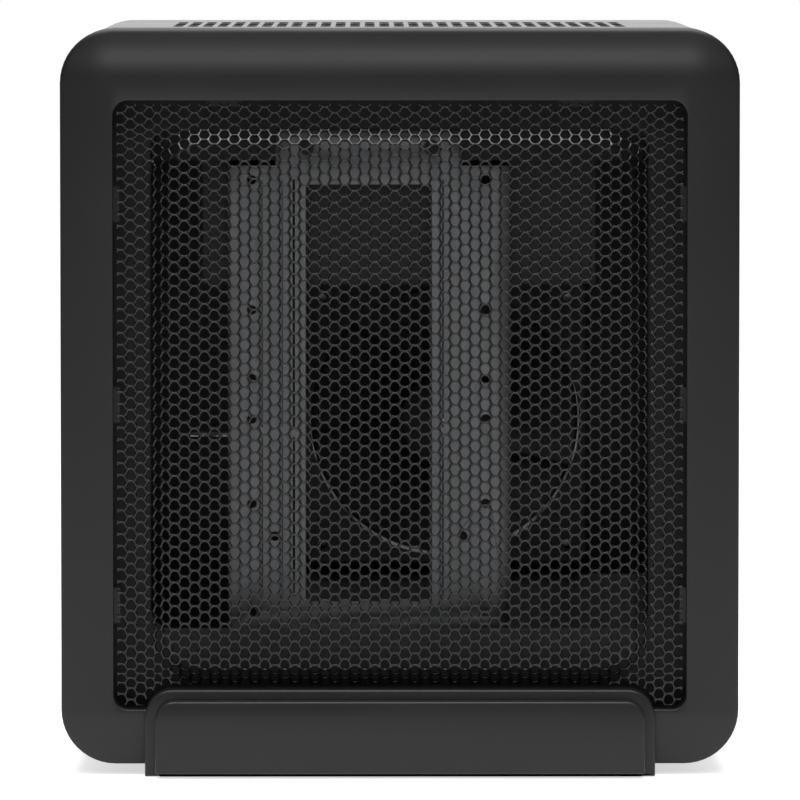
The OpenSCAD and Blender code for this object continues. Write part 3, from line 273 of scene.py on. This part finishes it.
def oval(sides, across, up, y):
    """Points of an oval or a cell's hexagon at one depth."""
    return [(across * math.cos(2 * math.pi * i / sides), y, up * math.sin(2 * math.pi * i / sides))
            for i in range(sides)]


def zip_rings(bm, one, two):
    """Triangles between two rings of vertices round one centre, with any numbers of points."""
    i = j = 0
    while i < len(one) or j < len(two):
        a, b = one[i % len(one)], two[j % len(two)]
        if j >= len(two) or (i < len(one) and (i + 0.5) / len(one) <= (j + 0.5) / len(two)):
            bm.faces.new((a, one[(i + 1) % len(one)], b))
            i += 1
        else:
            bm.faces.new((a, two[(j + 1) % len(two)], b))
            j += 1


bm = bmesh.new()
cell_x, cell_z = column_step / 1.5, row_step / math.sqrt(3)
loops = [[bm.verts.new([c * mm for c in p]) for p in points] for points in (
    oval(6, cell_x, cell_z, 0), oval(10, hole_x + rim, hole_z + rim, 0),
    oval(10, hole_x, hole_z, rim_depth), oval(6, hole_x * 1.12, hole_z * 1.12, sheet_t),
    oval(6, cell_x, cell_z, sheet_t))]
for one, two in zip(loops, loops[1:]):
    zip_rings(bm, one, two)
bmesh.ops.recalc_face_normals(bm, faces=bm.faces)
if sum(f.normal.y * f.calc_area() for f in bm.faces if abs(f.calc_center_median().y) < 1e-6) > 0:
    bmesh.ops.reverse_faces(bm, faces=bm.faces)
cell = piece("cell", bm, mesh_paint, flip=False)


def node_tree(name, **inputs):
    """A geometry node tree with named inputs, and its group input and output nodes."""
    tree = bpy.data.node_groups.new(name, "GeometryNodeTree")
    tree.interface.new_socket("Geometry", in_out="INPUT", socket_type="NodeSocketGeometry")
    for label, kind in inputs.items():
        tree.interface.new_socket(label, in_out="INPUT", socket_type="NodeSocket" + kind)
    tree.interface.new_socket("Geometry", in_out="OUTPUT", socket_type="NodeSocketGeometry")
    return tree, add(tree, "NodeGroupInput"), add(tree, "NodeGroupOutput")


def grown(name, tree, values, points=()):
    """Runs a node tree on an object with these points and returns the plain result."""
    mesh = bpy.data.meshes.new(name)
    mesh.from_pydata([[c * mm for c in p] for p in points], [], [])
    made = bpy.data.objects.new(name, mesh)
    bpy.context.scene.collection.objects.link(made)
    modifier = made.modifiers.new("grow", "NODES")
    modifier.node_group = tree
    for socket in tree.interface.items_tree:
        if socket.in_out == "INPUT" and socket.name in values:
            modifier[socket.identifier] = values[socket.name]
    return applied(made)


tree, given, result = node_tree("perforated_sheet", ColumnStep="Float", RowStep="Float",
                                Columns="Int", Rows="Int", Cell="Object", Paint="Material")
across = add(tree, "ShaderNodeCombineXYZ", {"X": given.outputs["ColumnStep"]})
along = add(tree, "ShaderNodeCombineXYZ", {"Z": given.outputs["RowStep"]})
columns = add(tree, "GeometryNodeMeshLine",
              {"Count": given.outputs["Columns"], "Offset": across.outputs[0]})
index = add(tree, "GeometryNodeInputIndex")
odd = add(tree, "ShaderNodeMath", {0: index.outputs[0]}, operation="MODULO")
odd.inputs[1].default_value = 2
half = add(tree, "ShaderNodeMath", {0: odd.outputs[0], 1: given.outputs["RowStep"]},
           operation="MULTIPLY")
half_step = add(tree, "ShaderNodeMath", {0: half.outputs[0]}, operation="MULTIPLY")
half_step.inputs[1].default_value = 0.5
lift = add(tree, "ShaderNodeCombineXYZ", {"Z": half_step.outputs[0]})
staggered = add(tree, "GeometryNodeSetPosition",
                {"Geometry": columns.outputs[0], "Offset": lift.outputs[0]})
row = add(tree, "GeometryNodeMeshLine",
          {"Count": given.outputs["Rows"], "Offset": along.outputs[0]})
lattice = add(tree, "GeometryNodeInstanceOnPoints",
              {"Points": staggered.outputs[0], "Instance": row.outputs[0]})
places = add(tree, "GeometryNodeRealizeInstances", {"Geometry": lattice.outputs[0]})
source = add(tree, "GeometryNodeObjectInfo", {"Object": given.outputs["Cell"]})
cells = add(tree, "GeometryNodeInstanceOnPoints",
            {"Points": places.outputs[0], "Instance": source.outputs["Geometry"]})
solid = add(tree, "GeometryNodeRealizeInstances", {"Geometry": cells.outputs[0]})
welded = add(tree, "GeometryNodeMergeByDistance", {"Geometry": solid.outputs[0]},
             Distance=0.01 * mm)
painted = add(tree, "GeometryNodeSetMaterial",
              {"Geometry": welded.outputs[0], "Material": given.outputs["Paint"]})
tree.links.new(painted.outputs[0], result.inputs[0])
column_count = 2 * math.ceil(sheet_w / 2 / column_step) + 2
row_count = 2 * math.ceil(sheet_h / 2 / row_step) + 3
sheet = grown("perforations", tree, {"ColumnStep": column_step * mm, "RowStep": row_step * mm,
                                     "Columns": column_count, "Rows": row_count,
                                     "Cell": cell, "Paint": mesh_paint})
bpy.data.objects.remove(cell)

bm = bmesh.new()
bm.from_mesh(sheet.data)
bpy.data.objects.remove(sheet)
# Even columns, counted from the middle, have a hole on the row phase, and odd ones lie between.
start_row = field_mid + row_phase - (row_count // 2) * row_step
if (column_count // 2) % 2 == 1:
    start_row -= row_step / 2
bmesh.ops.translate(bm, verts=bm.verts, vec=(
    -(column_count - 1) / 2 * column_step * mm, 0, start_row * mm))


def outline_planes(half_w, low, high, r, corners, parts=4):
    """Lines round a box with rounded corners, as a point and an outward direction in X and Z."""
    lines = [((half_w, 0), (1, 0)), ((-half_w, 0), (-1, 0)),
             ((0, high), (0, 1)), ((0, low), (0, -1))]
    for sx, sz in corners:
        mid = (sx * (half_w - r), (high if sz > 0 else low) - sz * r)
        for i in range(parts):
            angle = math.pi / 2 * (i + 0.5) / parts
            way = (sx * math.cos(angle), sz * math.sin(angle))
            lines.append(((mid[0] + way[0] * r, mid[1] + way[1] * r), way))
    return lines


def slice_along(bm, line, near, clear):
    """Cuts the faces that near picks along a line in X and Z, and drops what lies outside it."""
    (x, z), (nx, nz) = line
    faces = [f for f in bm.faces if near(f)] if near else bm.faces[:]
    geometry = list({v for f in faces for v in f.verts} | {e for f in faces for e in f.edges})
    geometry += faces
    bmesh.ops.bisect_plane(bm, geom=geometry, plane_co=(x * mm, 0, z * mm), plane_no=(nx, 0, nz),
                           dist=0.002 * mm, clear_outer=clear)


trim = outline_planes(sheet_w / 2, open_mid - sheet_h / 2, open_mid + sheet_h / 2, sheet_r,
                      ((-1, -1), (1, -1), (1, 1), (-1, 1)))
for line in trim:
    (x, z), (nx, nz) = line
    slice_along(bm, line, lambda f: any(
        (v.co.x / mm - x) * nx + (v.co.z / mm - z) * nz > -0.01 for v in f.verts), True)
notch_half, notch_top, notch_r, near_notch = 102.9, 36.1, 12.4, 44
notch = outline_planes(notch_half, 0, notch_top, notch_r, ((-1, 1), (1, 1)), parts=6)
for line in notch:
    (x, z), (nx, nz) = line
    slice_along(bm, line, lambda f: f.verts[0].co.z < near_notch * mm and any(
        abs((v.co.x / mm - x) * nx + (v.co.z / mm - z) * nz) < 5 for v in f.verts), False)
inside = []
for f in bm.faces:
    if f.verts[0].co.z < near_notch * mm:
        c = f.calc_center_median() / mm
        if all((c.x - x) * nx + (c.z - z) * nz < 0 for (x, z), (nx, nz) in notch):
            inside.append(f)
bmesh.ops.delete(bm, geom=inside, context="FACES")
bmesh.ops.holes_fill(bm, edges=[e for e in bm.edges if e.is_boundary], sides=0)


def stretched(flat, half, mid):
    """Where a point of the flat sheet ends up once the slopes have taken up its length."""
    away = abs(flat - mid)
    if away >= half:
        return flat
    if away > half - slope_l:
        there = half - (half - away) * run / slope_l
    else:
        there = away * (half - run) / (half - slope_l)
    return mid + math.copysign(there, flat - mid)


def pressed(x, z):
    """How far the sheet is pressed forward, from 0 at the outer fold to 1 on the raised flat."""
    qx = abs(x) - (field_w / 2 - field_r)
    qz = abs(z - field_mid) - (field_h / 2 - field_r)
    outside = math.hypot(max(qx, 0), max(qz, 0)) + min(max(qx, qz), 0)
    t = min(max((field_r - outside) / run, -0.2), 1.2)
    ease = 0.07
    if t < ease:
        return max(t + ease, 0) ** 2 / (4 * ease)
    if t > 1 - ease:
        return 1 - max(1 + ease - t, 0) ** 2 / (4 * ease)
    return t


nudge = 0.1
for v in bm.verts:
    x, depth = stretched(v.co.x / mm, field_w / 2, 0), v.co.y / mm
    z = stretched(v.co.z / mm, field_h / 2, field_mid)
    slant = rise / (2 * nudge)
    tilt = Vector((slant * (pressed(x + nudge, z) - pressed(x - nudge, z)), 1,
                   slant * (pressed(x, z + nudge) - pressed(x, z - nudge)))).normalized()
    v.co = (Vector((x, border_y - rise * pressed(x, z), z)) + tilt * depth) * mm
mesh_piece = piece("punched_front_mesh", bm, mesh_paint, sharp=80, flip=False)
take(mesh_piece, "case", "mesh_paint", "front_mesh")

# --- Stand ------------------------------------------------------------------------------------
# One ABS moulding that the case stands on, in the plastic of the front frame, with its edges
# rounded in the mould, and four pads of black rubber stuck under its base plate.


def softened(node, name, material, radius_mm, chosen=lambda point: True):
    """A copy of a construction piece with its outer edges rounded where chosen allows it."""
    rounded_past, segments = math.radians(38), 3
    bm = bmesh.new()
    bm.from_mesh(nodes[node].data)
    bmesh.ops.remove_doubles(bm, verts=bm.verts, dist=0.01 * mm)
    bmesh.ops.dissolve_limit(bm, angle_limit=math.radians(0.4), verts=bm.verts, edges=bm.edges)
    weight = bm.edges.layers.float.new("bevel_weight_edge")
    for edge in bm.edges:
        if len(edge.link_faces) == 2 and edge.calc_face_angle_signed(0) > rounded_past:
            edge[weight] = float(all(chosen(v.co / mm) for v in edge.verts))
    made = piece(name, bm, material, flip=False)
    bevel = made.modifiers.new("rounding", "BEVEL")
    bevel.width, bevel.segments, bevel.limit_method = radius_mm * mm, segments, "WEIGHT"
    bevel.use_clamp_overlap = False
    applied(made)
    made.data.set_sharp_from_angle(angle=math.radians(32))
    return made


stand = softened("stand", "stand_moulding", satin_plastic, 0.8, chosen=lambda p: p.y < -130)
take(stand, "case", "satin_plastic", "stand")
pad_rubber = finish_of("Black_rubber", "171717", 0.75, 0.5, 0.03, wear=0.05, specular=0.3,
                       mottle=0.2)
pads = softened("stand_pads", "stand_rubber_pads", pad_rubber, 0.4)
take(pads, "case", "pad_rubber", "stand_pads")

# --- Cover ------------------------------------------------------------------------------------
# One steel sheet folded over the top, the sides and the lower edges, slotted above, with a
# fine-textured black powder coat that looks dull from in front and pale at a low angle.
cover_paint = finish_of("Fine_textured_powder_coat", "191919", 0.25, 0.9, 0.006, wear=0.02,
                        mottle=0.06)


def repaint(material, *names):
    """Gives construction pieces their finish."""
    for name in names:
        nodes[name].data.materials.clear()
        nodes[name].data.materials.append(material)


repaint(cover_paint, "outer_shell", "cover_thumbscrews")

# --- Chassis ----------------------------------------------------------------------------------
# Folded and riveted steel sheet in plain black powder coat.
chassis_paint = finish_of("Chassis_powder_coat", "101010", 0.4, 1.2, 0.01, wear=0.05, specular=0.3,
                          mottle=0.1)
# The slot covers, zinc-plated in the construction model, take this black paint as painted shade
# for the dark back of the case.
repaint(chassis_paint, "chassis_floor", "front_frame", "rear_panel", "left_top_rail",
        "right_top_rail", "top_cross_member", "bracket_pedestal", "psu_shelf",
        "slot_cover_inner", "slot_cover_outer")

# --- Drive bracket ----------------------------------------------------------------------------
# Zinc-plated sheet steel with four pressed slots down its bars. It is rolled, so it has faint
# streaks along the roll and a soft grey sheen.
zinc_steel = finish_of("Zinc_plated_sheet", "6c6d6f", 0.5, 1.0, 0.006, wear=0.06, metallic=1.0,
                       mottle=0.08, mottle_mm=14, stretch=(1, 1, 0.15))
bracket = softened("drive_bracket", "zinc_drive_bracket", zinc_steel, 0.3)
bracket_y, bracket_top, bracket_low, slot_break = -52.25, 240.8, 50.8, (130, 134)
bm = bmesh.new()
for x, width in ((-55.8, 0.5), (-47.6, 0.4), (-42.9, 0.9), (17.8, 0.6)):
    for low, high in ((bracket_low + 14, slot_break[0]), (slot_break[1], bracket_top - 6)):
        block(bm, (x - width / 2, bracket_y - 2, low), (x + width / 2, bracket_y + 3, high))
cutter = piece("bracket_slots", bm, zinc_steel)
cut = bracket.modifiers.new("slots", "BOOLEAN")
cut.operation, cut.object, cut.solver = "DIFFERENCE", cutter, "EXACT"
applied(bracket)
bpy.data.objects.remove(cutter)
bracket.data.set_sharp_from_angle(angle=math.radians(32))
take(bracket, "case", "zinc_steel", "drive_bracket")

# --- Shade plate ------------------------------------------------------------------------------
# A black folded plate behind the bracket's top, hung from the cross member, as painted shade: a
# dark sheet that hides the white surround behind the rear openings from the front.
bm = bmesh.new()
shade_half, shade_y, shade_low, shade_top, member_y = 80, -41.4, 192, 262, -49.85
block(bm, (-shade_half, shade_y - 0.5, shade_low), (shade_half, shade_y + 0.5, shade_top))
block(bm, (-shade_half, member_y, shade_top - 1), (shade_half, shade_y + 0.3, shade_top))
block(bm, (-shade_half, member_y, shade_top - 0.5), (shade_half, member_y + 1, shade_top + 10))
shade_plate = piece("power_supply_stop", bm, chassis_paint)
take(shade_plate, "case", "chassis_paint")

# --- Board opening plate ----------------------------------------------------------------------
# A thin pressed plate in the board's rear opening, with knock-outs that stand proud by their
# pressing, and a strip over the windows above the slot covers.
bm = bmesh.new()
plate_x, plate_low, plate_high, plate_y = (-53.5, 105.25), 12.4, 56.85, 129.3
proud_y, play = (129.9, 130.5), 0.3
block(bm, (plate_x[0] + play, plate_y, plate_low + play),
      (plate_x[1] - play, plate_y + 0.8, plate_high - play))
block(bm, (-51.2, plate_y - 0.4, plate_low - 1.5),
      (plate_x[1] + 2, plate_y + 0.4, plate_high + 2))
for x, z, w, h in ((-40, 24, 15, 14), (-40, 43, 15, 14), (-17, 34, 22, 30), (6, 24, 13, 12),
                   (6, 43, 13, 12), (30, 34, 26, 12), (56, 25, 15, 13), (56, 43, 15, 13)):
    block(bm, (x - w / 2, proud_y[0], z - h / 2), (x + w / 2, proud_y[1], z + h / 2))
for x, z in ((78, 22), (78, 35), (78, 48), (92, 22), (92, 35), (92, 48)):
    rod(bm, (x, proud_y[0], z), (x, proud_y[1], z), 4.4, 20)
block(bm, (-92, 130.76, 118.3), (-49.5, 131.5, 127))
plate = piece("board_opening_plate", bm, zinc_steel)
take(plate, "case", "zinc_steel")

# --- Screws, rivets and standoffs -------------------------------------------------------------
# Cold-headed steel with bright zinc, pop rivets, and hexagonal standoffs turned from brass. The
# bracket's screws are painted with the chassis.
screw_steel = finish_of("Bright_zinc", "b4b6b8", 0.3, 0.6, 0.004, wear=0.06, metallic=1.0,
                        mottle_mm=6)
standoff_brass = finish_of("Turned_brass", "c9a55c", 0.28, 0.4, 0.004, wear=0.05, metallic=1.0,
                           mottle_mm=5, stretch=(1, 1, 6))
repaint(chassis_paint, "bracket_screws")
repaint(screw_steel, "stand_screws", "slot_screws", "rear_fan_screws",
        "chassis_rivets", "bezel_screws", "board_screws", "rear_fan_shaft")
repaint(standoff_brass, "motherboard_standoffs")

# --- Fan --------------------------------------------------------------------------------------
# Glass-filled black plastic, duller than the front, moulded in two parts.
fan_plastic = finish_of("Glass_filled_plastic", "1b1b1c", 0.55, 0.8, 0.02, wear=0.06,
                        specular=0.4, mottle=0.15, mottle_mm=20)
repaint(fan_plastic, "rear_fan_frame")
fan_x, fan_y, fan_z, hub_r, tip_r, blade_count, parts = 20, 115, 126, 20, 56, 7, 6
bm = bmesh.new()
for blade in range(blade_count):
    sections = []
    for i in range(parts + 1):
        r = hub_r - 1.5 + (tip_r - hub_r + 1.5) * i / parts
        sweep = math.radians(57 - 4 * math.sin(math.pi * i / parts))
        lean, rise_y = math.radians(9 * i / parts), 15 - 5 * i / parts
        section = []
        for side in (1, -1):
            for k in range(9):
                t = k / 8 if side > 0 else 1 - k / 8
                angle = blade * 2 * math.pi / blade_count + lean + (t - 0.5) * sweep
                thick = side * (0.25 + 0.8 * math.sin(math.pi * min(max(t, 0.02), 0.98)))
                y = fan_y + (t - 0.5) * rise_y + 1.4 * math.sin(math.pi * t) - thick
                section.append((fan_x + r * math.cos(angle), y, fan_z + r * math.sin(angle)))
        sections.append(section)
    low, *_, high = loft(bm, sections)
    bm.faces.new(low)
    bm.faces.new(high)
blades = piece("blades", bm, fan_plastic)
bm = bmesh.new()
bm.from_mesh(blades.data)
bpy.data.objects.remove(blades)
hub_profile = ((17.5, 105.9), (19, 106.6), (19.6, 108), (19.6, 123.6), (18, 123.6), (18, 109))
round_hub = [2 * math.pi * i / 64 for i in range(64)]
front, *_, back = loft(bm, [[(fan_x + r * math.cos(t), y, fan_z + r * math.sin(t))
                             for t in round_hub] for r, y in hub_profile])
bm.faces.new(front)
bm.faces.new(back)
rotor = piece("fan_rotor_moulding", bm, fan_plastic)
take(rotor, "fan_rotor", "fan_plastic", "rear_fan_rotor")

# --- Controls ---------------------------------------------------------------------------------
# A strip with the buttons, the light, two ports and two sockets, on a small circuit board.
part_plastic = finish_of("Moulded_part_plastic", "1c1c1c", 0.45, 0.6, 0.01, specular=0.4,
                         mottle_mm=12)
solder_mask = finish_of("Green_solder_mask", "1d4a2c", 0.3, 0.8, 0.01, mottle_mm=8)
port_steel = finish_of("Tin_plated_steel", "d0d0ce", 0.2, 0.8, 0.004, metallic=1.0, mottle_mm=6)
contact_plastic = finish_of("Contact_carrier", "202020", 0.35, 0.5, 0.006, mottle_mm=5)
repaint(part_plastic, "power_switch", "reset_switch", "audio_jacks", "control_strip")
repaint(satin_plastic, "power_button", "reset_button")
repaint(solder_mask, "control_board")
repaint(port_steel, "usb_ports")
repaint(contact_plastic, "usb_tongues")
clear_plastic = bpy.data.materials.new("Clear_acrylic")
clear_plastic.use_nodes = True
shader = clear_plastic.node_tree.nodes["Principled BSDF"]
shader.inputs["Base Color"].default_value = linear("dfe6ea")
shader.inputs["Transmission Weight"].default_value = 0.9
shader.inputs["Roughness"].default_value = 0.12
shader.inputs["IOR"].default_value = 1.49
repaint(clear_plastic, "status_light")

# --- Studio -----------------------------------------------------------------------------------
# A white floor, a white surround, a broad lamp overhead, a soft one above the camera, and a long
# lens from a little above, as the photograph was taken.


def lamp(name, place, aim, size, power, tall=None):
    """A soft rectangular lamp aimed at a point."""
    data = bpy.data.lights.new(name, "AREA")
    data.shape, data.size, data.size_y = "RECTANGLE", size, tall or size
    data.energy = power
    made = bpy.data.objects.new(name, data)
    bpy.context.scene.collection.objects.link(made)
    made.location = place
    made.rotation_mode = "QUATERNION"
    made.rotation_quaternion = (Vector(aim) - Vector(place)).to_track_quat("-Z", "Y")
    return made


lamp("overhead", (0, -0.62, 2.2), (0, -0.13, 0.2), 1.8, 62, tall=1.1)
lamp("above_camera", (0, -2.35, 1.2), (0, -0.13, 0.2), 1.5, 10, tall=0.5)

# Black cards below and above the front lamp and at both sides keep the gloss on the front dark, as
# studios do with black objects. Only reflections show them.
card_material = bpy.data.materials.new("Black_card")
card_material.use_nodes = True
card_shader = card_material.node_tree.nodes["Principled BSDF"]
card_shader.inputs["Base Color"].default_value = linear("0c0c0c")
card_shader.inputs["Roughness"].default_value = 0.9
card_mesh = bpy.data.meshes.new("black_card")
front_cards = [(x, y, z) for y, z in ((-2.4, 0), (-2.4, 0.82), (-2.2, 1.55), (-1.5, 2.3))
               for x in (-2.8, 2.8)]
side_cards = [(x, y, z) for x in (-2.6, 2.6)
              for y, z in ((-2.4, 0.02), (0.5, 0.02), (0.5, 2.0), (-2.4, 2.0))]
card_mesh.from_pydata(front_cards + side_cards, [],
                      [(0, 1, 3, 2), (4, 5, 7, 6), (8, 9, 10, 11), (12, 13, 14, 15)])
card_mesh.materials.append(card_material)
card = bpy.data.objects.new("black_card", card_mesh)
bpy.context.scene.collection.objects.link(card)
card.visible_camera = card.visible_diffuse = False
card.visible_shadow = card.visible_transmission = False

floor_material = bpy.data.materials.new("White_floor")
floor_material.use_nodes = True
tree = floor_material.node_tree
tree.nodes.remove(tree.nodes["Principled BSDF"])
matt = add(tree, "ShaderNodeBsdfDiffuse", Color=(0.8, 0.8, 0.8, 1))
glow = add(tree, "ShaderNodeEmission", Strength=0.62)
path = add(tree, "ShaderNodeLightPath")
seen = add(tree, "ShaderNodeMath",
           {0: path.outputs["Is Camera Ray"], 1: path.outputs["Is Glossy Ray"]},
           operation="ADD", use_clamp=True)
both = add(tree, "ShaderNodeAddShader", {0: matt.outputs[0], 1: glow.outputs[0]})
chosen = add(tree, "ShaderNodeMixShader",
             {0: seen.outputs[0], 1: matt.outputs[0], 2: both.outputs[0]})
tree.links.new(chosen.outputs[0], tree.nodes["Material Output"].inputs["Surface"])
floor_mesh = bpy.data.meshes.new("floor")
floor_mesh.from_pydata([(-9, -9, 0), (9, -9, 0), (9, 9, 0), (-9, 9, 0)], [], [(0, 1, 2, 3)])
floor_mesh.materials.append(floor_material)
floor = bpy.data.objects.new("floor", floor_mesh)
bpy.context.scene.collection.objects.link(floor)

world = bpy.data.worlds.new("Surround")
bpy.context.scene.world = world
world.use_nodes = True
tree = world.node_tree
path = add(tree, "ShaderNodeLightPath")
direct = add(tree, "ShaderNodeMath",
             {0: path.outputs["Is Camera Ray"], 1: path.outputs["Is Glossy Ray"]},
             operation="ADD", use_clamp=True)
seen = add(tree, "ShaderNodeMath",
           {0: direct.outputs[0], 1: path.outputs["Is Transmission Ray"]},
           operation="ADD", use_clamp=True)
strength = add(tree, "ShaderNodeMapRange", {"Value": seen.outputs[0]}, To_Min=0.5, To_Max=1.0)
tree.links.new(strength.outputs[0], tree.nodes["Background"].inputs["Strength"])
tree.nodes["Background"].inputs["Color"].default_value = (1, 1, 1, 1)

camera_data = bpy.data.cameras.new("camera")
camera_data.sensor_width = 36
camera_data.lens = 357.1
camera_data.clip_start, camera_data.clip_end = 0.1, 50
camera = bpy.data.objects.new("camera", camera_data)
bpy.context.scene.collection.objects.link(camera)
pitch_down, yaw_right, distance = math.radians(3.59), math.radians(0.22), 3.152
aim = Vector((math.sin(yaw_right) * math.cos(pitch_down),
              math.cos(yaw_right) * math.cos(pitch_down), -math.sin(pitch_down)))
camera.location = Vector((0, -0.13025, 0.15)) - aim * distance
camera.rotation_mode = "QUATERNION"
camera.rotation_quaternion = aim.to_track_quat("-Z", "Y")
bpy.context.scene.camera = camera
bpy.context.scene.view_settings.view_transform = "Standard"
